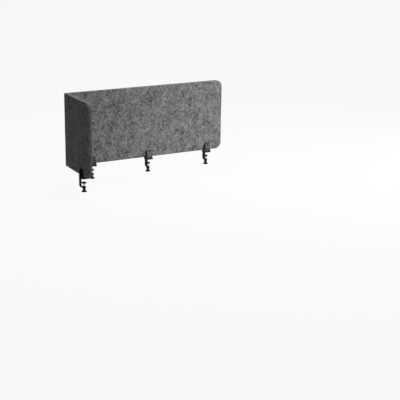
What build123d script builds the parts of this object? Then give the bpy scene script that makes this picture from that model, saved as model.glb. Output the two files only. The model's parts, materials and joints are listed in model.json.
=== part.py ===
from build123d import *
import os

os.makedirs("parts", exist_ok=True)

# Clamp-on acoustic desk screen: a long felt board along the back of a desk top and a short return
# board at its left end, carried by four desk clamps. Lengths are in millimetres and +Z is up. The
# origin is on the plane of the desk top's surface, on the screw axis of the middle clamp. The long
# board runs along X, its user's side faces -Y, and the return board runs towards -Y.

# Felt boards
board_length = 1200.0
board_height = 500.0
board_thickness = 24.0
return_depth = 400.0  # from the long board's outer face
corner_radius = 45.0
rim_radius = 2.5
stand_off = 18.0  # desk top to the boards' lower edges

# Clamp places, given by each screw axis
left_inset = 186.0  # from the boards' outer corner
middle_offset = 14.0  # beyond the long board's mid-length
right_inset = 118.0  # from the long board's free end
return_inset = 115.0  # from the return board's front end

# Corner keys, bent from steel strip, in pockets across the mitre
key_leg = 80.0
key_width = 20.0
key_thickness = 3.0
key_bend_radius = 4.0
key_hole_radius = 2.5
key_hole_pitch = 30.0
key_gap = 0.2
key_inset = 75.0  # outer keys' middles, from the boards' lower and upper edges

# Clamp frame: base plate on the desk top, arm outside its edge, lower jaw with a round boss
desk_thickness = 25.0  # the desk top held at rest
pad_thickness = 2.0
pad_margin = 1.5
base_thickness = 5.0
base_width = 51.0
base_outer_width = 24.0
base_corner_radius = 3.0
inner_reach = 19.0  # base beyond the board's inner face
outer_reach = 19.0  # arm beyond the board's outer face
arm_width = 20.0
arm_thickness = 10.0
arm_inner_fillet = 4.0
arm_outer_fillet = 16.0
throat_height = 52.0
jaw_thickness = 8.0
boss_radius = 12.0
boss_height = 16.0
boss_chamfer = 1.0

# Shoe: two tapered fingers either side of the board, flaring into the base
finger_root_width = 40.0
finger_tip_width = 35.0
finger_rise = 48.0  # above the boards' lower edges
finger_corner_radius = 10.0
finger_root = 16.5
finger_tip = 9.0
tip_drop_share = 0.75  # of the finger's tip thickness
flare_height = 20.0
flare_overrun = 0.5  # beyond the base's outline, which cuts the flare off upright

# Countersunk screws that hold the shoe on the base plate
shoe_screw_radius = 2.5
shoe_screw_length = 14.0
shoe_screw_head_radius = 5.0
shoe_screw_pitch = 24.0
shoe_screw_socket_radius = 1.8
shoe_screw_socket_depth = 1.6
countersink_angle = 90.0

# Grip plate in the outer finger, and the grub screws that press it on the board
grip_plate_width = 28.0
grip_plate_height = 28.0
grip_plate_thickness = 2.0
grip_plate_radius = 2.0
grip_level = 21.0  # above the boards' lower edges
grip_screw_radius = 3.0
grip_screw_length = 10.0
grip_screw_pitch = 16.0
grip_screw_socket_radius = 1.7
grip_screw_socket_depth = 3.0

# Clamp screw with its swivel foot
screw_radius = 5.0
pivot_radius = 3.0
pivot_head_radius = 4.5
pivot_head_thickness = 1.5
foot_radius = 16.0
foot_plate_thickness = 5.0
foot_hub_radius = 8.0
foot_hub_height = 4.0
foot_recess_radius = 6.5
foot_recess_depth = 2.4
foot_pad_thickness = 2.0
foot_pad_margin = 1.0
foot_edge_chamfer = 1.0

# Knob: a round disc below a hub that is moulded on the screw's hexagonal end
knob_radius = 18.5
knob_rim = 4.0
knob_dome = 1.5
knob_rim_fillet = 1.2
knob_neck_fillet = 3.0
hub_radius = 9.3
hub_length = 15.5
hub_gap = 2.5  # to the jaw's boss, with the desk top held at rest
scallop_radius = 6.0
scallop_depth = 1.2
scallop_count = 8
hexagon_inradius = 5.2
hexagon_length = 14.0

# Clearances
thread_gap = 0.05  # a screw in its tapped hole
pivot_gap = 0.1
axial_gap = 0.3
pocket_gap = 0.3
cut_overrun = 5.0

# Levels above the desk top's surface
shoe_bottom = pad_thickness + base_thickness
flare_top = shoe_bottom + flare_height
finger_top = stand_off + finger_rise
board_middle = stand_off + board_height / 2
jaw_top = -throat_height
boss_bottom = jaw_top - boss_height
foot_plate_top = -desk_thickness - foot_pad_thickness
foot_plate_bottom = foot_plate_top - foot_plate_thickness
foot_bottom = foot_plate_bottom - foot_hub_height
hub_top = boss_bottom - hub_gap
disc_top = hub_top - hub_length
disc_bottom = disc_top - knob_rim

# Distances from the board's middle plane, inwards below zero and outwards above it
board_half = board_thickness / 2
base_inner = -board_half - inner_reach
base_outer = board_half + outer_reach
arm_inner = base_outer - arm_thickness
pad_outer = arm_inner - arm_inner_fillet - axial_gap

# Distances from the boards' outer corner to each screw axis
middle_station = board_length / 2 + middle_offset
right_station = board_length - right_inset
return_station = return_depth - return_inset

outer_corner_x = -middle_station
return_middle_x = outer_corner_x + board_half


def seat_on_back(station):
    """Plane of a clamp on the long board: x along the board, y outwards, z up."""
    return Plane(origin=(outer_corner_x + station, 0, 0), x_dir=(1, 0, 0), z_dir=(0, 0, 1))


def seat_on_return(station):
    """Plane of a clamp on the return board: x along the board, y outwards, z up."""
    origin = (return_middle_x, board_half - station, 0)
    return Plane(origin=origin, x_dir=(0, 1, 0), z_dir=(0, 0, 1))


seats = {
    "left": seat_on_back(left_inset),
    "middle": seat_on_back(middle_station),
    "right": seat_on_back(right_station),
    "return": seat_on_return(return_station),
}


def side_plane(seat):
    """Upright plane through a clamp's screw axis: x outwards, y up."""
    return Plane(origin=seat.origin, x_dir=seat.y_dir, z_dir=seat.x_dir)


def face_plane(seat):
    """Upright plane in the board's middle: x along the board, y up, normal outwards."""
    return Plane(origin=seat.origin, x_dir=-seat.x_dir, z_dir=seat.y_dir)


def base_outline(plane, margin, outer_end):
    """Outline of a clamp's base, straight below the board and tapered to the arm, less a margin."""
    with BuildSketch(plane) as outline:
        with BuildLine():
            Polyline(
                (-base_width / 2, base_inner),
                (base_width / 2, base_inner),
                (base_width / 2, board_half),
                (base_outer_width / 2, base_outer),
                (-base_outer_width / 2, base_outer),
                (-base_width / 2, board_half),
                close=True,
            )
        make_face()
        fillet(outline.vertices(), radius=base_corner_radius)
        if margin > 0:
            offset(amount=-margin, mode=Mode.REPLACE)
        with Locations((0, outer_end)):
            Rectangle(
                base_width,
                base_outer - base_inner,
                align=(Align.CENTER, Align.MAX),
                mode=Mode.INTERSECT,
            )
    return outline.sketch


def make_corner_key(level, gap):
    """L-shaped key at a level of the boards, or its pocket where a gap is given."""
    leg = key_leg + gap
    with BuildPart() as key:
        with BuildSketch(Plane.XY.offset(level - key_width / 2 - gap)):
            with BuildLine():
                FilletPolyline(
                    (return_middle_x + leg, 0),
                    (return_middle_x, 0),
                    (return_middle_x, -leg),
                    radius=key_bend_radius,
                )
            trace(line_width=key_thickness + 2 * gap)
        extrude(amount=key_width + 2 * gap)
        if gap == 0:
            along_back = Plane(origin=(return_middle_x + key_leg / 2, 0, level), z_dir=(0, 1, 0))
            along_return = Plane(origin=(return_middle_x, -key_leg / 2, level), z_dir=(1, 0, 0))
            with Locations(along_back):
                with GridLocations(key_hole_pitch, 0, 2, 1):
                    Hole(radius=key_hole_radius)
            with Locations(along_return):
                with GridLocations(0, key_hole_pitch, 1, 2):
                    Hole(radius=key_hole_radius)
    return key.part


def make_shoe(seat):
    """Moulded shoe: the board stands in the channel between its two fingers."""
    tip = board_half + finger_tip
    root = board_half + finger_root
    tip_level = finger_top - finger_tip * tip_drop_share
    slope = (root - tip, flare_top - tip_level)
    with BuildPart() as shoe:
        with BuildSketch(side_plane(seat)):
            with BuildLine():
                TangentArc(
                    (-root, flare_top),
                    (base_inner - flare_overrun, shoe_bottom),
                    tangent=(-slope[0], slope[1]),
                )
                Line((-root, flare_top), (-tip, tip_level))
                TangentArc((-tip, tip_level), (-board_half, finger_top), tangent=(slope[0], -slope[1]))
                Polyline(
                    (-board_half, finger_top),
                    (-board_half, stand_off),
                    (board_half, stand_off),
                    (board_half, finger_top),
                )
                TangentArc((tip, tip_level), (board_half, finger_top), tangent=(-slope[0], -slope[1]))
                Line((tip, tip_level), (root, flare_top))
                TangentArc(
                    (root, flare_top),
                    (base_outer + flare_overrun, shoe_bottom),
                    tangent=slope,
                )
                Line(
                    (base_outer + flare_overrun, shoe_bottom),
                    (base_inner - flare_overrun, shoe_bottom),
                )
            make_face()
        extrude(amount=base_width / 2 + cut_overrun, both=True)
        with BuildSketch(face_plane(seat)) as front:
            with BuildLine():
                TangentArc(
                    (finger_root_width / 2, flare_top),
                    (base_width / 2 + flare_overrun, shoe_bottom),
                    tangent=((finger_root_width - finger_tip_width) / 2, flare_top - finger_top),
                )
                Line((finger_root_width / 2, flare_top), (finger_tip_width / 2, finger_top))
                mirror(about=Plane.YZ)
                Line((-finger_tip_width / 2, finger_top), (finger_tip_width / 2, finger_top))
                Line(
                    (-base_width / 2 - flare_overrun, shoe_bottom),
                    (base_width / 2 + flare_overrun, shoe_bottom),
                )
            make_face()
            fillet(front.vertices().sort_by(Axis.Y)[-2:], radius=finger_corner_radius)
        extrude(amount=base_outer - base_inner, both=True, mode=Mode.INTERSECT)
        extrude(
            base_outline(seat.offset(shoe_bottom), 0, base_outer),
            amount=finger_top - shoe_bottom,
            mode=Mode.INTERSECT,
        )
        with BuildSketch(face_plane(seat).offset(board_half)):
            with Locations((0, stand_off + grip_level)):
                Rectangle(grip_plate_width + 2 * pocket_gap, grip_plate_height + 2 * pocket_gap)
        extrude(amount=grip_plate_thickness + pocket_gap, mode=Mode.SUBTRACT)
        with BuildSketch(face_plane(seat).offset(board_half)):
            with Locations((0, stand_off + grip_level)):
                with GridLocations(grip_screw_pitch, 0, 2, 1):
                    Circle(grip_screw_radius + thread_gap)
        extrude(amount=finger_root + cut_overrun, mode=Mode.SUBTRACT)
        with BuildSketch(seat.offset(shoe_bottom)):
            with GridLocations(shoe_screw_pitch, 0, 2, 1):
                Circle(shoe_screw_radius + thread_gap)
        extrude(
            amount=shoe_screw_length + pad_thickness + axial_gap - shoe_bottom,
            mode=Mode.SUBTRACT,
        )
    return shoe.part


def make_clamp_frame(seat):
    """Cast C: base plate under the shoe, arm outside the desk's edge, lower jaw with its boss."""
    with BuildPart() as frame:
        extrude(base_outline(seat.offset(pad_thickness), 0, base_outer), amount=base_thickness)
        with BuildSketch(side_plane(seat)) as hook:
            with BuildLine():
                Polyline(
                    (base_inner, pad_thickness),
                    (arm_inner, pad_thickness),
                    (arm_inner, jaw_top),
                    (0, jaw_top),
                    (0, jaw_top - jaw_thickness),
                    (base_outer, jaw_top - jaw_thickness),
                    (base_outer, shoe_bottom),
                    (base_inner, shoe_bottom),
                    close=True,
                )
            make_face()
            inner_corners = hook.vertices().filter_by_position(Axis.X, arm_inner, arm_inner)
            fillet(inner_corners, radius=arm_inner_fillet)
            outer_corner = hook.vertices().sort_by(Axis.Y)[:2].sort_by(Axis.X)[-1]
            fillet(outer_corner, radius=arm_outer_fillet)
        extrude(amount=arm_width / 2, both=True)
        with BuildSketch(seat.offset(jaw_top)):
            Circle(boss_radius)
        extrude(amount=-boss_height)
        chamfer(frame.edges().sort_by(Axis.Z)[0], length=boss_chamfer)
        with Locations(seat.offset(jaw_top)):
            Hole(radius=screw_radius + thread_gap, depth=boss_height)
        with Locations(-seat.offset(pad_thickness)):
            with GridLocations(shoe_screw_pitch, 0, 2, 1):
                CounterSinkHole(
                    radius=shoe_screw_radius + pocket_gap,
                    counter_sink_radius=shoe_screw_head_radius + pocket_gap,
                    depth=base_thickness,
                    counter_sink_angle=countersink_angle,
                )
    return frame.part


def make_desk_pad(seat):
    """Rubber pad between the base plate and the desk top."""
    with BuildPart() as pad:
        extrude(base_outline(seat, pad_margin, pad_outer), amount=pad_thickness)
    return pad.part


def make_shoe_screws(seat):
    """Two countersunk socket screws, heads flush with the base plate's underside."""
    head_height = shoe_screw_head_radius - shoe_screw_radius
    with BuildPart() as screws:
        with Locations(seat.offset(pad_thickness)):
            with GridLocations(shoe_screw_pitch, 0, 2, 1):
                Cylinder(
                    radius=shoe_screw_radius,
                    height=shoe_screw_length,
                    align=(Align.CENTER, Align.CENTER, Align.MIN),
                )
                Cone(
                    bottom_radius=shoe_screw_head_radius,
                    top_radius=shoe_screw_radius,
                    height=head_height,
                    align=(Align.CENTER, Align.CENTER, Align.MIN),
                )
        with BuildSketch(seat.offset(pad_thickness)):
            with GridLocations(shoe_screw_pitch, 0, 2, 1):
                RegularPolygon(radius=shoe_screw_socket_radius, side_count=6)
        extrude(amount=shoe_screw_socket_depth, mode=Mode.SUBTRACT)
    return screws.part


def make_grip_plate(seat):
    """Steel plate between the outer finger and the board."""
    with BuildPart() as plate:
        with BuildSketch(face_plane(seat).offset(board_half)):
            with Locations((0, stand_off + grip_level)):
                RectangleRounded(grip_plate_width, grip_plate_height, grip_plate_radius)
        extrude(amount=grip_plate_thickness)
    return plate.part


def make_grip_screws(seat):
    """Two socket grub screws through the outer finger."""
    plate_back = face_plane(seat).offset(board_half + grip_plate_thickness)
    with BuildPart() as screws:
        with BuildSketch(plate_back):
            with Locations((0, stand_off + grip_level)):
                with GridLocations(grip_screw_pitch, 0, 2, 1):
                    Circle(grip_screw_radius)
        extrude(amount=grip_screw_length)
        with BuildSketch(plate_back.offset(grip_screw_length)):
            with Locations((0, stand_off + grip_level)):
                with GridLocations(grip_screw_pitch, 0, 2, 1):
                    RegularPolygon(radius=grip_screw_socket_radius, side_count=6)
        extrude(amount=-grip_screw_socket_depth, mode=Mode.SUBTRACT)
    return screws.part


def make_pressure_foot(seat):
    """Round foot that swivels on the screw's pivot."""
    recess_floor = foot_plate_top - foot_recess_depth
    bore = pivot_radius + pivot_gap
    with BuildPart() as foot:
        with BuildSketch(side_plane(seat)):
            with BuildLine():
                Polyline(
                    (bore, foot_bottom),
                    (foot_hub_radius, foot_bottom),
                    (foot_hub_radius, foot_plate_bottom),
                    (foot_radius - foot_edge_chamfer, foot_plate_bottom),
                    (foot_radius, foot_plate_bottom + foot_edge_chamfer),
                    (foot_radius, foot_plate_top),
                    (foot_recess_radius, foot_plate_top),
                    (foot_recess_radius, recess_floor),
                    (bore, recess_floor),
                    close=True,
                )
            make_face()
        revolve(axis=Axis(seat.origin, seat.z_dir))
    return foot.part


def make_foot_pad(seat):
    """Rubber pad on the foot, against the underside of the desk top."""
    with BuildPart() as pad:
        with BuildSketch(seat.offset(foot_plate_top)):
            Circle(foot_radius - foot_pad_margin)
        extrude(amount=foot_pad_thickness)
    return pad.part


def make_clamp_screw(seat):
    """Screw with a riveted pivot at its upper end and a hexagonal lower end."""
    shoulder = foot_bottom - axial_gap
    head_bottom = foot_plate_top - foot_recess_depth + axial_gap
    hexagon_top = hub_top - axial_gap
    with BuildPart() as screw:
        with BuildSketch(side_plane(seat)):
            with BuildLine():
                Polyline(
                    (0, hexagon_top - hexagon_length),
                    (screw_radius, hexagon_top - hexagon_length),
                    (screw_radius, shoulder),
                    (pivot_radius, shoulder),
                    (pivot_radius, head_bottom),
                    (pivot_head_radius, head_bottom),
                    (pivot_head_radius, head_bottom + pivot_head_thickness),
                    (0, head_bottom + pivot_head_thickness),
                    close=True,
                )
            make_face()
        revolve(axis=Axis(seat.origin, seat.z_dir))
        with BuildSketch(seat.offset(hexagon_top)):
            RegularPolygon(radius=hexagon_inradius, side_count=6, major_radius=False)
        extrude(amount=-hexagon_length)
    return screw.part


def make_knob(seat):
    """Knob with a scalloped disc, moulded on the screw's hexagonal end."""
    with BuildPart() as knob:
        with BuildSketch(side_plane(seat)) as half:
            with BuildLine():
                Line((0, hub_top), (hub_radius, hub_top))
                Line((hub_radius, hub_top), (hub_radius, disc_top + knob_neck_fillet))
                TangentArc(
                    (hub_radius, disc_top + knob_neck_fillet),
                    (hub_radius + knob_neck_fillet, disc_top),
                    tangent=(0, -1),
                )
                Polyline(
                    (hub_radius + knob_neck_fillet, disc_top),
                    (knob_radius, disc_top),
                    (knob_radius, disc_bottom),
                )
                TangentArc((0, disc_bottom - knob_dome), (knob_radius, disc_bottom), tangent=(1, 0))
                Line((0, disc_bottom - knob_dome), (0, hub_top))
            make_face()
            rim = half.vertices().filter_by_position(Axis.X, knob_radius, knob_radius)
            fillet(rim, radius=knob_rim_fillet)
        revolve(axis=Axis(seat.origin, seat.z_dir))
        with BuildSketch(seat.offset(disc_top)):
            with PolarLocations(knob_radius + scallop_radius - scallop_depth, scallop_count):
                Circle(scallop_radius)
        extrude(amount=-knob_rim - knob_dome, mode=Mode.SUBTRACT)
        with BuildSketch(seat.offset(hub_top)):
            RegularPolygon(radius=hexagon_inradius, side_count=6, major_radius=False)
        extrude(amount=-hexagon_length - axial_gap, mode=Mode.SUBTRACT)
    return knob.part


key_levels = {
    "lower": stand_off + key_inset,
    "middle": board_middle,
    "upper": stand_off + board_height - key_inset,
}
key_pockets = [make_corner_key(level, key_gap) for level in key_levels.values()]

# The two boards meet in a mitre. The mitre plane's normal points to the long board's side.
mitre = Plane(origin=(outer_corner_x, board_half, 0), x_dir=(0, 0, 1), z_dir=(1, 1, 0))

with BuildPart() as back_board:
    with BuildSketch(Plane.XZ.offset(-board_half)) as outline:
        with Locations((outer_corner_x + board_length / 2, board_middle)):
            Rectangle(board_length, board_height)
        fillet(outline.vertices().sort_by(Axis.X)[-2:], radius=corner_radius)
    extrude(amount=board_thickness)
    split(bisect_by=mitre, keep=Keep.TOP)
    rims = back_board.faces().filter_by(Axis.Y).edges()
    seams = rims.filter_by(Axis.Z).sort_by(Axis.X)[:2]
    fillet(rims - seams, radius=rim_radius)
    add(key_pockets, mode=Mode.SUBTRACT)
back_board.part.label = "back_board"
export_step(back_board.part, "parts/back_board.step")

with BuildPart() as return_board:
    with BuildSketch(Plane.YZ.offset(outer_corner_x)) as outline:
        with Locations((board_half - return_depth / 2, board_middle)):
            Rectangle(return_depth, board_height)
        fillet(outline.vertices().sort_by(Axis.X)[:2], radius=corner_radius)
    extrude(amount=board_thickness)
    split(bisect_by=mitre, keep=Keep.BOTTOM)
    rims = return_board.faces().filter_by(Axis.X).edges()
    seams = rims.filter_by(Axis.Z).sort_by(Axis.Y)[-2:]
    fillet(rims - seams, radius=rim_radius)
    add(key_pockets, mode=Mode.SUBTRACT)
return_board.part.label = "return_board"
export_step(return_board.part, "parts/return_board.step")

for key_name, level in key_levels.items():
    corner_key = make_corner_key(level, 0)
    corner_key.label = f"corner_key_{key_name}"
    export_step(corner_key, f"parts/corner_key_{key_name}.step")

clamp_pieces = {
    "clamp_frame": make_clamp_frame,
    "shoe": make_shoe,
    "desk_pad": make_desk_pad,
    "shoe_screws": make_shoe_screws,
    "grip_plate": make_grip_plate,
    "grip_screws": make_grip_screws,
    "pressure_foot": make_pressure_foot,
    "foot_pad": make_foot_pad,
    "clamp_screw": make_clamp_screw,
    "knob": make_knob,
}
for place, seat in seats.items():
    for piece_name, make_piece in clamp_pieces.items():
        piece = make_piece(seat)
        piece.label = f"{piece_name}_{place}"
        export_step(piece, f"parts/{piece_name}_{place}.step")
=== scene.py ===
import json
from math import pi, radians, sqrt

import bmesh
import bpy
from mathutils import Matrix, Vector, noise


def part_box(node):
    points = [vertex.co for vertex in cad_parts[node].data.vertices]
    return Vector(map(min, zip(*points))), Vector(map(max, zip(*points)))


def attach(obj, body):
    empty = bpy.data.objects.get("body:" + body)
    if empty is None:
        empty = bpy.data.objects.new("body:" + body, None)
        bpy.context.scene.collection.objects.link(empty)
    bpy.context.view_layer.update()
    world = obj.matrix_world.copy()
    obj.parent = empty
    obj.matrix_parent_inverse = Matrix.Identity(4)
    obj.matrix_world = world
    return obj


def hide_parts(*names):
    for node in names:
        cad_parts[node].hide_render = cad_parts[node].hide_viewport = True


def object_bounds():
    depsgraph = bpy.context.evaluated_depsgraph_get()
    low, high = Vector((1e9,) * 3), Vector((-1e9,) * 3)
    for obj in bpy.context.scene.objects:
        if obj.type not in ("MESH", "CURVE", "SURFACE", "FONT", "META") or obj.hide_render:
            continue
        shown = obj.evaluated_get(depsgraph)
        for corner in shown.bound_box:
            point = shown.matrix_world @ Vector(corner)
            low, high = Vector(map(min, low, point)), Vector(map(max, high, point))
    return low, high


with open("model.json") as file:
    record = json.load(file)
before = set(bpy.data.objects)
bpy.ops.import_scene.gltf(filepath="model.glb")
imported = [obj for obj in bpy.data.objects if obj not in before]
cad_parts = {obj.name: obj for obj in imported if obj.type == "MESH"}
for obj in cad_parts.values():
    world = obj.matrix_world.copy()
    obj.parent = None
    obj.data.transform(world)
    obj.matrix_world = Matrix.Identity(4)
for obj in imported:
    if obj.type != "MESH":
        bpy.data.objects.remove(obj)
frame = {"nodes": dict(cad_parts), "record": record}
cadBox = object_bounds()
scene = bpy.context.scene
scene.view_settings.view_transform = "Standard"
places = ("left", "middle", "right", "return")  # the four clamps
sameSpot = 1e-6  # points nearer than this are merged

# Camera

photoView = {
    "place": (-3.094, -6.245, 1.829),
    "heading": 29.42,  # degrees clockwise from +Y, seen from above
    "downTilt": 17.00,
    "roll": 0.90,
    "lens": 91.7,
    "sensor": 36.0,
}


def makeCamera(view):
    lens = bpy.data.cameras.new("photoCamera")
    lens.lens = view["lens"]
    lens.sensor_width = view["sensor"]
    camera = bpy.data.objects.new("photoCamera", lens)
    scene.collection.objects.link(camera)
    heading = Matrix.Rotation(-radians(view["heading"]), 4, "Z")
    tilt = Matrix.Rotation(radians(90 - view["downTilt"]), 4, "X")
    roll = Matrix.Rotation(radians(view["roll"]), 4, "Z")
    camera.matrix_world = Matrix.Translation(view["place"]) @ heading @ tilt @ roll
    scene.camera = camera


makeCamera(photoView)
print("camera set")


# Shader nodes


class Wire:
    # one socket of a shader tree; arithmetic on it adds Math nodes
    def __init__(self, tree, socket=None):
        self.tree = tree
        self.socket = socket

    def make(self, kind, settings=(), inputs=(), output=0):
        node = self.tree.nodes.new(kind)
        for name, value in dict(settings).items():
            if name == "stops":
                fillRamp(node.color_ramp, value)
            else:
                setattr(node, name, value)
        for name, value in dict(inputs).items():
            if isinstance(value, Wire):
                self.tree.links.new(value.socket, node.inputs[name])
            else:
                node.inputs[name].default_value = value
        return Wire(self.tree, node.outputs[output] if node.outputs else None)

    def other(self, output):
        # another output of the same node
        return Wire(self.tree, self.socket.node.outputs[output])

    def maths(self, operation, first, second):
        return self.make("ShaderNodeMath", {"operation": operation}, {0: first, 1: second})

    def __add__(self, other):
        return self.maths("ADD", self, other)

    def __radd__(self, other):
        return self.maths("ADD", other, self)

    def __sub__(self, other):
        return self.maths("SUBTRACT", self, other)

    def __rsub__(self, other):
        return self.maths("SUBTRACT", other, self)

    def __mul__(self, other):
        return self.maths("MULTIPLY", self, other)

    def __rmul__(self, other):
        return self.maths("MULTIPLY", other, self)

    def __abs__(self):
        return self.maths("ABSOLUTE", self, 0.0)


def grey(level):
    return (level, level, level, 1.0)


def fillRamp(ramp, stops):
    while len(ramp.elements) < len(stops):
        ramp.elements.new(0.5)
    for element, (position, level) in zip(ramp.elements, stops):
        element.position = position
        element.color = grey(level)


def mixColours(tree, factor, first, second):
    # a colour mix takes its colours at sockets 6 and 7 and gives the result at output 2
    inputs = {0: factor}
    for socket, colour in ((6, first), (7, second)):
        inputs[socket] = colour if isinstance(colour, Wire) else (*colour, 1.0)
    return tree.make("ShaderNodeMix", {"data_type": "RGBA"}, inputs, 2)


def noiseOf(tree, place, size, detail=2.0, roughness=0.5, distortion=0.0, output=0):
    inputs = {
        "Vector": place,
        "Scale": 1.0 / size,
        "Detail": detail,
        "Roughness": roughness,
        "Distortion": distortion,
    }
    return tree.make("ShaderNodeTexNoise", (), inputs, output)


def step(tree, value, low, high):
    return tree.make("ShaderNodeValToRGB", {"stops": ((low, 0.0), (high, 1.0))}, {0: value})


def newSurface(name, finish, varying):
    # finish["sockets"] and what varying returns are Principled BSDF sockets, apart from height
    material = bpy.data.materials.new(name)
    material.use_nodes = True
    material.node_tree.nodes.clear()
    tree = Wire(material.node_tree)
    place = tree.make("ShaderNodeTexCoord", (), (), "Object")
    inputs = dict(finish["sockets"])
    inputs.update(varying(tree, place))
    strength, distance = finish["bump"]
    bump = {"Strength": strength, "Distance": distance, "Height": inputs.pop("height")}
    inputs["Normal"] = tree.make("ShaderNodeBump", (), bump)
    shader = tree.make("ShaderNodeBsdfPrincipled", (), inputs)
    tree.make("ShaderNodeOutputMaterial", (), {"Surface": shader})
    return material


# Where the boards are

backLow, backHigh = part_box("back_board")
returnLow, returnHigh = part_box("return_board")
backMiddle = (backLow.y + backHigh.y) / 2
returnMiddle = (returnLow.x + returnHigh.x) / 2
halfBoard = (backHigh.y - backLow.y) / 2


# Felt: grey heathered polyester, with pale and dark fibres pressed into the face

feltFinish = {
    "deepShade": (0.022, 0.023, 0.023),
    "paleShade": (0.335, 0.337, 0.333),
    "darkFibre": (0.018, 0.019, 0.019),
    "whiteFibre": (0.60, 0.60, 0.59),
    "cutShade": (0.066, 0.067, 0.067),
    "tone": 0.41,  # from deep shade, 0, to pale shade, 1
    "cloudSize": 0.050,
    "cloudShare": 0.8,
    "mottleSize": 0.0115,
    "mottleShare": 2.2,
    "grainSize": 0.0016,
    "grainShare": 0.9,
    "fibreSize": (0.013, 0.0033, 0.0011),  # along it, through the board and across it
    "fibreDrift": 0.012,
    "fibreAngles": (12, 64, 118, 157),  # degrees in the board's plane
    "fibreSteps": (0.60, 0.78),  # noise levels at which a fibre starts and is full
    "paleShare": 0.36,
    "darkShare": 0.5,
    "cutDepths": (0.0004, 0.004),  # below a face, where the cut edge's look starts and is full
    "cutShare": 0.72,
    "plySize": 0.0011,  # layers that show on a cut edge
    "plyRun": (0.06, 1.0, 0.06),
    "paleRise": 0.5,  # shares of the bump's height
    "darkSink": 0.3,
    "grainRise": 0.7,
    "sockets": {
        "Roughness": 0.92,
        "Specular IOR Level": 0.18,
        "Sheen Weight": 0.18,
        "Sheen Roughness": 0.55,
    },
    "bump": (0.7, 0.0008),  # strength and depth
}


def crossedFibres(tree, place, finish):
    pale, dark = 0.0, 0.0
    for angle in finish["fibreAngles"]:
        turned = {
            "Vector": place,
            "Rotation": (0, radians(angle), 0),
            "Scale": finish["fibreSize"],
        }
        along = tree.make("ShaderNodeMapping", {"vector_type": "TEXTURE"}, turned)
        strand = noiseOf(tree, along, 1.0)
        pale = step(tree, strand, *finish["fibreSteps"]) + pale
        dark = step(tree, 1.0 - strand, *finish["fibreSteps"]) + dark
    return pale, dark


def makeFelt(name, turn, centre, lay, contrast, finish=feltFinish):
    # turn brings the board's thickness onto Y, where centre is its middle plane; lay is under 1 on
    # the axes along which the fibre clumps are drawn out; noise lies about 0.5
    def varying(tree, place):
        laid = {"Vector": place, "Rotation": (0, 0, turn), "Scale": lay}
        flat = tree.make("ShaderNodeMapping", (), laid)
        drift = noiseOf(tree, flat, finish["cloudSize"], detail=3.0, output="Color")
        bent = tree.make(
            "ShaderNodeVectorMath",
            {"operation": "MULTIPLY_ADD"},
            {0: drift, 1: (finish["fibreDrift"],) * 3, 2: flat},
        )
        cloud = noiseOf(tree, flat, finish["cloudSize"])
        mottle = noiseOf(
            tree, bent, finish["mottleSize"], detail=4.0, roughness=0.62, distortion=0.6
        )
        grain = noiseOf(tree, flat, finish["grainSize"], detail=3.0, roughness=0.6)
        pale, dark = crossedFibres(tree, bent, finish)
        across = tree.make("ShaderNodeSeparateXYZ", (), {0: flat}, "Y")
        depth = halfBoard - abs(across - centre)
        start, full = finish["cutDepths"]
        cut = step(tree, depth * (1 / full), start / full, 1.0)
        plies = tree.make("ShaderNodeMapping", (), {"Vector": flat, "Scale": finish["plyRun"]})
        ply = noiseOf(tree, plies, finish["plySize"], roughness=0.6)
        tone = (
            (mottle - 0.5) * (finish["mottleShare"] * contrast)
            + (cloud - 0.5) * (finish["cloudShare"] * contrast)
            + (grain - 0.5) * finish["grainShare"]
            + (ply - 0.5) * cut
            + finish["tone"]
        )
        shade = mixColours(tree, tone, finish["deepShade"], finish["paleShade"])
        shade = mixColours(tree, dark * finish["darkShare"], shade, finish["darkFibre"])
        shade = mixColours(tree, pale * finish["paleShare"], shade, finish["whiteFibre"])
        shade = mixColours(tree, cut * finish["cutShare"], shade, finish["cutShade"])
        height = (
            pale * finish["paleRise"]
            + grain * finish["grainRise"]
            - dark * finish["darkSink"]
            + ply * cut
        )
        return {"Base Color": shade, "height": height}

    return newSurface(name, finish, varying)


# Moulded black: smooth on the inner side of the boards, dull beyond their outer faces

mouldedFinish = {
    "grainSize": 0.00045,
    "scuffSize": 0.018,
    "wornSteps": (0.52, 0.75),
    "wornShade": 1.5,  # of the plain shade
    "scuffRoughness": 0.14,
    "outerEdge": (0.45, 0.55),  # of a board's thickness, from its middle plane
    "sockets": {"Specular IOR Level": 0.0, "Coat Roughness": 0.33},
    "bump": (0.3, 0.0001),
}


def beyondBoards(tree, place, edge):
    # 0 up to the boards' outer faces and 1 beyond them
    x = tree.make("ShaderNodeSeparateXYZ", (), {0: place}, "X")
    y = x.other("Y")
    share = 1 / (2 * halfBoard)
    behind = step(tree, (y - backMiddle) * share, *edge)
    beside = step(tree, (returnMiddle - x) * share, *edge)
    return behind + beside


def makeMouldedBlack(name, shade, roughness, polish, finish=mouldedFinish):
    def varying(tree, place):
        grain = noiseOf(tree, place, finish["grainSize"])
        scuff = noiseOf(tree, place, finish["scuffSize"], detail=4.0, roughness=0.65)
        worn = step(tree, scuff, *finish["wornSteps"])
        wornShade = shade * finish["wornShade"]
        return {
            "Base Color": mixColours(tree, worn, (shade,) * 3, (wornShade,) * 3),
            "Roughness": scuff * finish["scuffRoughness"] + roughness,
            "Coat Weight": (1.0 - beyondBoards(tree, place, finish["outerEdge"])) * polish,
            "height": grain,
        }

    return newSurface(name, finish, varying)


# Powder coat, steel and rubber

powderFinish = {
    "darkShade": (0.016, 0.016, 0.016),
    "paleShade": (0.032, 0.032, 0.032),
    "dustSize": 0.03,
    "peelSize": 0.0011,
    "roughness": 0.45,
    "peelRoughness": 0.2,
    "sockets": {"Specular IOR Level": 0.04},
    "bump": (0.5, 0.0003),
}


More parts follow.
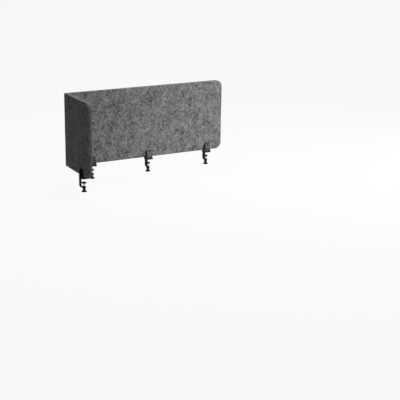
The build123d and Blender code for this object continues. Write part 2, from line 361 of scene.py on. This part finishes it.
def makePowderCoat(finish=powderFinish):
    def varying(tree, place):
        peel = noiseOf(tree, place, finish["peelSize"], detail=3.0, roughness=0.6)
        dust = noiseOf(tree, place, finish["dustSize"], detail=4.0, roughness=0.6)
        return {
            "Base Color": mixColours(tree, dust, finish["darkShade"], finish["paleShade"]),
            "Roughness": peel * finish["peelRoughness"] + finish["roughness"],
            "height": peel,
        }

    return newSurface("powderCoat", finish, varying)


steelFinish = {
    "cloudSize": 0.009,
    "ringSize": 0.00035,
    "ringRun": (0.08, 0.08, 1.0),  # turning marks run round the axis
    "roughness": 0.12,
    "cloudRoughness": 0.22,
    "ringRoughness": 0.12,
    "sockets": {"Metallic": 1.0},
    "bump": (0.25, 0.0001),
}


def makeSteel(name, dull, bright, finish=steelFinish):
    def varying(tree, place):
        cloud = noiseOf(tree, place, finish["cloudSize"], detail=4.0, roughness=0.6)
        rings = tree.make("ShaderNodeMapping", (), {"Vector": place, "Scale": finish["ringRun"]})
        turned = noiseOf(tree, rings, finish["ringSize"])
        rough = cloud * finish["cloudRoughness"] + turned * finish["ringRoughness"]
        return {
            "Base Color": mixColours(tree, cloud, dull, bright),
            "Roughness": rough + finish["roughness"],
            "height": turned,
        }

    return newSurface(name, finish, varying)


rubberFinish = {
    "darkShade": (0.012, 0.012, 0.012),
    "paleShade": (0.032, 0.031, 0.030),
    "dustSize": 0.012,
    "grainSize": 0.0007,
    "roughness": 0.68,
    "grainRoughness": 0.2,
    "sockets": {"Specular IOR Level": 0.3},
    "bump": (0.5, 0.00025),
}


def makeRubber(finish=rubberFinish):
    def varying(tree, place):
        grain = noiseOf(tree, place, finish["grainSize"], detail=3.0)
        dust = noiseOf(tree, place, finish["dustSize"], detail=4.0, roughness=0.65)
        return {
            "Base Color": mixColours(tree, dust, finish["darkShade"], finish["paleShade"]),
            "Roughness": grain * finish["grainRoughness"] + finish["roughness"],
            "height": grain,
        }

    return newSurface("rubber", finish, varying)


finishes = {
    "felt": makeFelt("heatherFelt", 0.0, backMiddle, lay=(1, 1, 0.8), contrast=1.0),
    "feltAcross": makeFelt(
        "heatherFeltAcross", radians(-90), -returnMiddle, lay=(1, 1, 0.72), contrast=1.2
    ),
    "shoe": makeMouldedBlack("shoeBlack", shade=0.026, roughness=0.30, polish=0.45),
    # painted shade: the knob's colour is darker than the shoe's, partly its own black plastic and
    # partly painted shade for the shadow it sits in under a desk top
    "moulded_black": makeMouldedBlack("knobBlack", shade=0.010, roughness=0.35, polish=0.0),
    "clamp_metal": makePowderCoat(),
    "steel": makeSteel("zincSteel", dull=(0.46, 0.47, 0.49), bright=(0.72, 0.71, 0.68)),
    "grip_screws": makeSteel(
        "blackenedSteel", dull=(0.028, 0.028, 0.030), bright=(0.060, 0.058, 0.056)
    ),
    "rubber": makeRubber(),
}
print("materials made")


# Finishing a piece


def finishPiece(mesh, name, body, slot, material, *stoodFor):
    for face in mesh.polygons:
        face.use_smooth = True
    mesh.materials.clear()
    mesh.materials.append(material)
    piece = bpy.data.objects.new(name, mesh)
    scene.collection.objects.link(piece)
    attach(piece, body)
    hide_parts(*stoodFor)
    return piece


def toMesh(bm, name):
    bmesh.ops.recalc_face_normals(bm, faces=bm.faces)
    mesh = bpy.data.meshes.new(name)
    bm.to_mesh(mesh)
    bm.free()
    return mesh


def cutOff(bm, point, outwards):
    # cuts everything beyond a plane off and closes the opening with one face
    cut = bmesh.ops.bisect_plane(
        bm,
        geom=bm.verts[:] + bm.edges[:] + bm.faces[:],
        plane_co=point,
        plane_no=outwards,
        clear_outer=True,
    )
    rim = [item for item in cut["geom_cut"] if isinstance(item, bmesh.types.BMEdge)]
    return bmesh.ops.contextual_create(bm, geom=rim)["faces"]


# Felt boards

feltBoard = {
    "gridStep": 0.005,
    "cornerRadius": 0.045,
    "arris": 0.0025,
    "arrisSteps": 4,
    "arrisAngle": 60,  # edges sharper than this many degrees are softened
    "rowsAcross": 4,
    "mitreStock": 0.010,  # extra length that the mitre cuts off
    "mitreArris": 0.0006,
    "mitreSteps": 2,
    "broadWave": (0.070, 0.00030),  # wavelength and height of the face's unevenness
    "fineWave": (0.016, 0.00016),
    "waveShift": 900,  # keeps the two waves apart
}


def roundCorner(vertex, centre, radius, towards):
    # moves a square corner zone's vertex into a quarter disc about centre
    across = (vertex.co.x - centre.x) / radius
    up = (vertex.co.z - centre.z) / (radius * towards)
    if across > 0 and up > 0:
        vertex.co.x = centre.x + radius * across * sqrt(1 - up * up / 2)
        vertex.co.z = centre.z + radius * towards * up * sqrt(1 - across * across / 2)


def softenEdges(bm, edges, width, steps):
    bmesh.ops.bevel(
        bm,
        geom=edges,
        offset=width,
        affect="EDGES",
        segments=steps,
        profile=0.5,
        material=-1,
    )


def makeSheet(bm, length, height, board):
    # the inner face, from the mitre's stock to the rounded free end
    stock, radius = board["mitreStock"], board["cornerRadius"]
    columns = round((length + stock) / board["gridStep"])
    rows = round(height / board["gridStep"])
    bmesh.ops.create_grid(bm, x_segments=columns, y_segments=rows, size=0.5)
    bmesh.ops.scale(bm, vec=(length + stock, height, 1), verts=bm.verts)
    middle = ((length - stock) / 2, height / 2, 0)
    bmesh.ops.translate(bm, vec=middle, verts=bm.verts)
    upright = Matrix.Rotation(radians(90), 3, "X")
    bmesh.ops.rotate(bm, cent=(0, 0, 0), matrix=upright, verts=bm.verts)
    for vertex in bm.verts:
        roundCorner(vertex, Vector((length - radius, 0, radius)), radius, -1)
        roundCorner(vertex, Vector((length - radius, 0, height - radius)), radius, 1)


def thicken(bm, thickness, board):
    outer = bmesh.ops.extrude_face_region(bm, geom=bm.faces[:], use_keep_orig=True)
    moved = [item for item in outer["geom"] if isinstance(item, bmesh.types.BMVert)]
    bmesh.ops.translate(bm, vec=(0, thickness, 0), verts=moved)
    bmesh.ops.recalc_face_normals(bm, faces=bm.faces)
    across = []
    for edge in bm.edges:
        if abs(edge.verts[0].co.y - edge.verts[1].co.y) > thickness / 2:
            across.append(edge)
    bmesh.ops.subdivide_edges(bm, edges=across, cuts=board["rowsAcross"] - 1)


def makeUneven(bm, thickness, height, board):
    # slight waves in the faces, which fade out towards the mitre
    bm.normal_update()
    for vertex in bm.verts:
        free = min(1.0, max(0.0, (vertex.co.x - thickness) / board["cornerRadius"]))
        for wave, lift in (board["broadWave"], board["fineWave"]):
            shift = Vector((wave * board["waveShift"], height, 0))
            rise = noise.noise(vertex.co / wave + shift)
            vertex.co += vertex.normal * (rise * lift * free)


def buildBoard(name, size, toPlace, material, node, board=feltBoard):
    length, thickness, height = size
    bm = bmesh.new()
    makeSheet(bm, length, height, board)
    thicken(bm, thickness, board)
    sharp = radians(board["arrisAngle"])
    arrises = [edge for edge in bm.edges if edge.calc_face_angle(0) > sharp]
    softenEdges(bm, arrises, board["arris"], board["arrisSteps"])
    # the mitre starts at the outer face's end and runs inwards at 45 degrees
    joint = cutOff(bm, (0, thickness, 0), (-1, -1, 0))[0]
    bmesh.ops.recalc_face_normals(bm, faces=bm.faces)
    softenEdges(bm, joint.edges[:], board["mitreArris"], board["mitreSteps"])
    makeUneven(bm, thickness, height, board)
    bmesh.ops.transform(bm, matrix=toPlace, verts=bm.verts)
    return finishPiece(toMesh(bm, name), name, "screen", "felt", material, node)


backPlace = Matrix.Translation(backLow)
returnPlace = Matrix(
    (
        (0, -1, 0, returnHigh.x),
        (-1, 0, 0, returnHigh.y),
        (0, 0, 1, returnLow.z),
        (0, 0, 0, 1),
    )
)
backSize = backHigh - backLow
returnSize = (returnHigh - returnLow).yxz
buildBoard("back_board_felt", backSize, backPlace, finishes["felt"], "back_board")
buildBoard("return_board_felt", returnSize, returnPlace, finishes["feltAcross"], "return_board")
print("felt boards made")


# Moulded and cast pieces: the solid's own shape with its edges worn soft

softEdges = {
    "clamp_frame": {"voxel": 0.0006, "smoothing": 4},
    "shoe": {"voxel": 0.00055, "smoothing": 5},
    "desk_pad": {"voxel": 0.0005, "smoothing": 3},
    "knob": {"voxel": 0.00040, "smoothing": 4},
    "pressure_foot": {"voxel": 0.00045, "smoothing": 3},
    "foot_pad": {"voxel": 0.0004, "smoothing": 3},
}

fingerCrown = {
    "height": 0.0012,
    "from": 0.016,  # level of the finger's root
    "depth": 0.009,  # from the board's inner face to where the crown is full
}


def crownFinger(mesh, place, crown):
    # the inner finger's front is slightly round from its root to its tip
    low, top = crown["from"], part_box(f"shoe_{place}")[1].z
    for vertex in mesh.vertices:
        rise = (vertex.co.z - low) / (top - low)
        if place == "return":
            depth = vertex.co.x - returnMiddle - halfBoard
        else:
            depth = backMiddle - halfBoard - vertex.co.y
        share = min(1.0, max(0.0, depth / crown["depth"]))
        if 0 < rise < 1 and share > 0:
            swell = crown["height"] * 4 * rise * (1 - rise) * share
            vertex.co += Vector((swell, 0, 0)) if place == "return" else Vector((0, -swell, 0))


def buildSoftened(kind, place, body, slot):
    node = f"{kind}_{place}"
    bm = bmesh.new()
    bm.from_mesh(frame["nodes"][node].data)
    bmesh.ops.remove_doubles(bm, verts=bm.verts, dist=sameSpot)
    raw = bpy.data.objects.new("raw", toMesh(bm, "raw"))
    scene.collection.objects.link(raw)
    remesh = raw.modifiers.new("remesh", "REMESH")
    remesh.mode = "VOXEL"
    remesh.voxel_size = softEdges[kind]["voxel"]
    smooth = raw.modifiers.new("smooth", "SMOOTH")
    smooth.factor = 0.5
    smooth.iterations = softEdges[kind]["smoothing"]
    baked = raw.evaluated_get(bpy.context.evaluated_depsgraph_get())
    mesh = bpy.data.meshes.new_from_object(baked)
    mesh.name = f"{node}_soft"
    bpy.data.objects.remove(raw)
    if kind == "shoe":
        crownFinger(mesh, place, fingerCrown)
    material = finishes.get(kind, finishes[slot])
    return finishPiece(mesh, f"{node}_soft", body, slot, material, node)


for place in places:
    buildSoftened("clamp_frame", place, "screen", "clamp_metal")
    buildSoftened("shoe", place, "screen", "moulded_black")
    buildSoftened("desk_pad", place, "screen", "rubber")
    buildSoftened("knob", place, f"screw_{place}", "moulded_black")
    buildSoftened("pressure_foot", place, f"foot_{place}", "clamp_metal")
    buildSoftened("foot_pad", place, f"foot_{place}", "rubber")
print("moulded and cast pieces made")


# Clamp screws

screwThread = {
    "radius": 0.00493,
    "depth": 0.00092,
    "pitch": 0.0015,
    "stepsPerTurn": 32,
    "crestShare": 0.14,  # of the pitch
    "rootShare": 0.20,
    "spareTurns": 2,  # beyond each end, cut off
    "belowFoot": 0.0003,  # from the thread's top end to the pressure foot
    "inKnob": 0.004,  # how far the thread goes into the knob
    "pivotRadius": 0.003,
    "pivotHead": 0.0045,
    "pivotHeadHeight": 0.0015,
    "pivotEase": 0.0004,
}


def spinUp(bm, points, turns, thread):
    # turns a line of (radius, height) points about Z and lifts it by one pitch in each turn
    verts = [bm.verts.new((radius, 0, height)) for radius, height in points]
    edges = [bm.edges.new(pair) for pair in zip(verts, verts[1:])]
    bmesh.ops.spin(
        bm,
        geom=verts + edges,
        cent=(0, 0, 0),
        axis=(0, 0, 1),
        dvec=(0, 0, thread["pitch"] / thread["stepsPerTurn"]),
        angle=2 * pi * turns,
        steps=turns * thread["stepsPerTurn"],
        use_duplicate=False,
    )
    bmesh.ops.remove_doubles(bm, verts=bm.verts, dist=sameSpot)


def spinRound(bm, points, steps):
    # turns a line of (radius, height) points that starts and ends on the axis into a closed shape
    verts = [bm.verts.new((radius, 0, height)) for radius, height in points]
    edges = [bm.edges.new(pair) for pair in zip(verts, verts[1:])]
    bmesh.ops.spin(
        bm,
        geom=verts + edges,
        cent=(0, 0, 0),
        axis=(0, 0, 1),
        angle=2 * pi,
        steps=steps,
        use_merge=True,
        use_duplicate=False,
    )
    bmesh.ops.remove_doubles(bm, verts=bm.verts, dist=sameSpot)


def buildClampScrew(place, thread=screwThread):
    node = f"clamp_screw_{place}"
    low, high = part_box(node)
    axis = (low + high) / 2
    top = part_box(f"pressure_foot_{place}")[0].z - thread["belowFoot"]
    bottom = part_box(f"knob_{place}")[1].z - thread["inKnob"]
    pitch, radius = thread["pitch"], thread["radius"]
    root = radius - thread["depth"]
    flank = (1 - thread["crestShare"] - thread["rootShare"]) / 2
    shares = (0, flank, flank + thread["crestShare"], 1 - thread["rootShare"], 1)
    radii = (root, radius, radius, root, root)
    start = bottom - thread["spareTurns"] * pitch
    turns = round((top - start) / pitch) + thread["spareTurns"]
    bm = bmesh.new()
    spinUp(bm, [(r, start + share * pitch) for r, share in zip(radii, shares)], turns, thread)
    cutOff(bm, (0, 0, top), (0, 0, 1))
    cutOff(bm, (0, 0, bottom), (0, 0, -1))
    pivot, head, ease = thread["pivotRadius"], thread["pivotHead"], thread["pivotEase"]
    headBottom = high.z - thread["pivotHeadHeight"]
    points = (
        (0, top - pitch),
        (pivot, top - pitch),
        (pivot, headBottom),
        (head, headBottom),
        (head, high.z - ease),
        (head - ease, high.z),
        (0, high.z),
    )
    spinRound(bm, points, thread["stepsPerTurn"])
    bmesh.ops.translate(bm, vec=(axis.x, axis.y, 0), verts=bm.verts)
    name = f"{node}_threaded"
    mesh = toMesh(bm, name)
    finishPiece(mesh, name, f"screw_{place}", "steel", finishes["steel"], node)
    for face in mesh.polygons:
        face.use_smooth = False  # crisp crests


for place in places:
    buildClampScrew(place)
print("clamp screws made")


# Solids that stay as they are get their finish

for part in frame["record"]["subparts"]:
    node = frame["nodes"][part["node"]]
    if not node.hide_render:
        kind = part["node"].rsplit("_", 1)[0]
        node.data.materials.clear()
        node.data.materials.append(finishes.get(kind, finishes[part["material_slot"]]))
print("remaining solids finished")


# Studio

studio = {
    "ambient": 0.128,
    "backdrop": 0.94,
    "floorShade": 0.97,
    "floorBounce": 0.30,
    "floorGlow": 0.955,  # share of the floor's look that doesn't depend on the lamps
    "floorSize": 60.0,
    "floorCells": 8,
    "floorGap": 0.001,  # below the lowest place that a knob reaches
    "lamps": {
        "keyLamp": {
            "place": (2.7, -1.5, 1.0),
            "aim": (0.0, -0.18, 0.21),
            "size": 1.4,
            "spread": 180,  # degrees
            "power": 92.0,
        },
        "lowLamp": {
            "place": (1.3, -2.3, 0.48),
            "aim": (0.05, 0.0, 0.04),
            "size": 0.6,
            "spread": 50,
            "power": 1.7,
        },
        "topLamp": {
            "place": (0.3, 0.15, 2.3),
            "aim": (0.0, -0.18, 0.21),
            "size": 1.2,
            "spread": 180,
            "power": 46.0,
        },
    },
}


def backdropRays(tree):
    camera = tree.make("ShaderNodeLightPath", (), (), "Is Camera Ray")
    total = camera + camera.other("Is Glossy Ray") + camera.other("Is Transmission Ray")
    return total.maths("MINIMUM", total, 1.0)


def makeWorld(settings):
    world = bpy.data.worlds.new("studio")
    scene.world = world
    world.use_nodes = True
    world.node_tree.nodes.clear()
    tree = Wire(world.node_tree)
    seen = backdropRays(tree)
    strength = seen * (settings["backdrop"] - settings["ambient"]) + settings["ambient"]
    light = {"Color": grey(1.0), "Strength": strength}
    background = tree.make("ShaderNodeBackground", (), light)
    tree.make("ShaderNodeOutputWorld", (), {"Surface": background})


def makeFloorSurface(settings):
    material = bpy.data.materials.new("paleFloor")
    material.use_nodes = True
    material.node_tree.nodes.clear()
    tree = Wire(material.node_tree)
    seen = backdropRays(tree)
    shade, glow = settings["floorShade"], settings["floorGlow"]
    lit = tree.make("ShaderNodeBsdfDiffuse", (), {"Color": grey(shade * (1 - glow))})
    steady = tree.make("ShaderNodeEmission", (), {"Color": grey(shade), "Strength": glow})
    shown = tree.make("ShaderNodeAddShader", (), {0: lit, 1: steady})
    bounce = tree.make("ShaderNodeBsdfDiffuse", (), {"Color": grey(settings["floorBounce"])})
    mixed = tree.make("ShaderNodeMixShader", (), {0: seen, 1: bounce, 2: shown})
    tree.make("ShaderNodeOutputMaterial", (), {"Surface": mixed})
    return material


def makeFloor(settings):
    joints = frame["record"]["behaviour"]["joints"]
    lowest = min(joint["range_m"][0] for joint in joints if joint["type"] == "slide")
    level = cadBox[0].z + lowest - settings["floorGap"]
    cells = settings["floorCells"]
    bm = bmesh.new()
    bmesh.ops.create_grid(
        bm, x_segments=cells, y_segments=cells, size=settings["floorSize"] / 2
    )
    bmesh.ops.translate(bm, vec=(0, 0, level), verts=bm.verts)
    floor = bpy.data.objects.new("floor", toMesh(bm, "floor"))
    scene.collection.objects.link(floor)
    floor.data.materials.append(makeFloorSurface(settings))


def makeLamp(name, lamp):
    light = bpy.data.lights.new(name, "AREA")
    light.shape = "SQUARE"
    light.size = lamp["size"]
    light.energy = lamp["power"]
    light.spread = radians(lamp["spread"])
    holder = bpy.data.objects.new(name, light)
    scene.collection.objects.link(holder)
    aim = Vector(lamp["aim"]) - Vector(lamp["place"])
    turn = aim.to_track_quat("-Z", "Y").to_matrix().to_4x4()
    holder.matrix_world = Matrix.Translation(lamp["place"]) @ turn


makeWorld(studio)
makeFloor(studio)
for name, lamp in studio["lamps"].items():
    makeLamp(name, lamp)
print("studio made")
